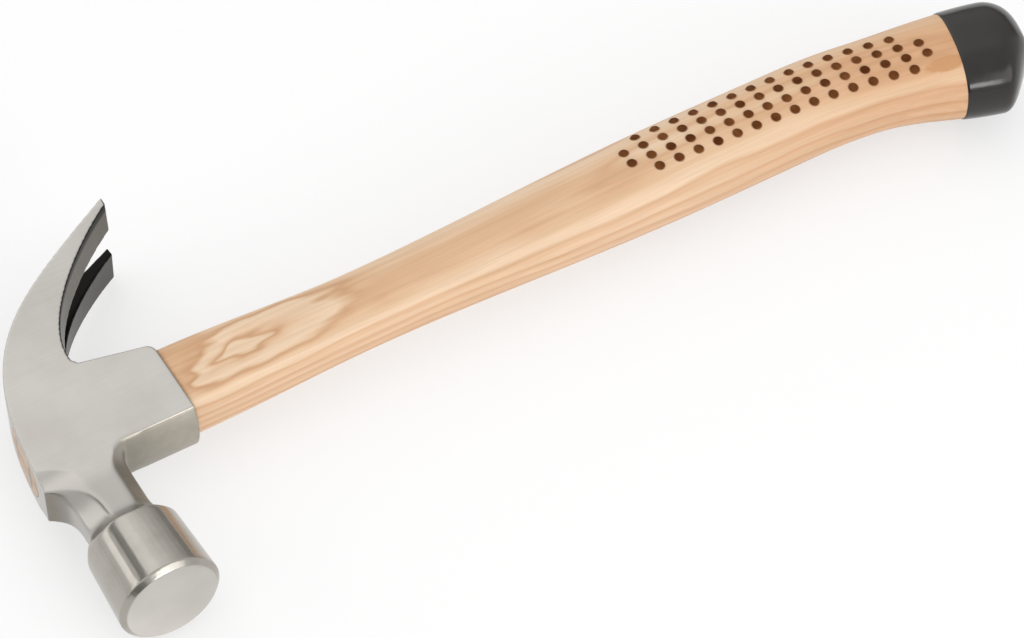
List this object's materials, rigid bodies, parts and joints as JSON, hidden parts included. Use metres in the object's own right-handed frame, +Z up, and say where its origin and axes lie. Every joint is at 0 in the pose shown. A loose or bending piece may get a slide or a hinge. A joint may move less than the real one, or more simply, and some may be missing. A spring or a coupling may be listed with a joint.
{
  "type": "claw hammer",
  "caption": "Framing hammer with a forged steel head, long curved claws, an octagonal neck, a round bell face and a curved ash handle with burnt grip dots and a dipped end.",
  "frame": {"origin": "centre of the box round the hammer, on the surface that it lies on", "axes": "+X runs down the handle from the head to the dipped end, +Y from the striking face to the claws, +Z up through the flat cheeks"},
  "size_m": [0.399, 0.1494, 0.041],
  "materials": {
    "head_steel": "ground cheeks and claws, polished poll, clear lacquer",
    "ash": "sanded ash under clear lacquer, with burnt dots in the grip",
    "wedge_wood": "bare hardwood, trimmed flush",
    "wedge_steel": "plain rolled steel, trimmed flush",
    "dip": "dipped gloss coating"
  },
  "bodies": {
    "root": {"head": "head_steel", "handle": "ash", "wood_wedge": "wedge_wood", "steel_wedge_front": "wedge_steel", "steel_wedge_back": "wedge_steel", "end_dip": "dip"}
  },
  "joints": []
}
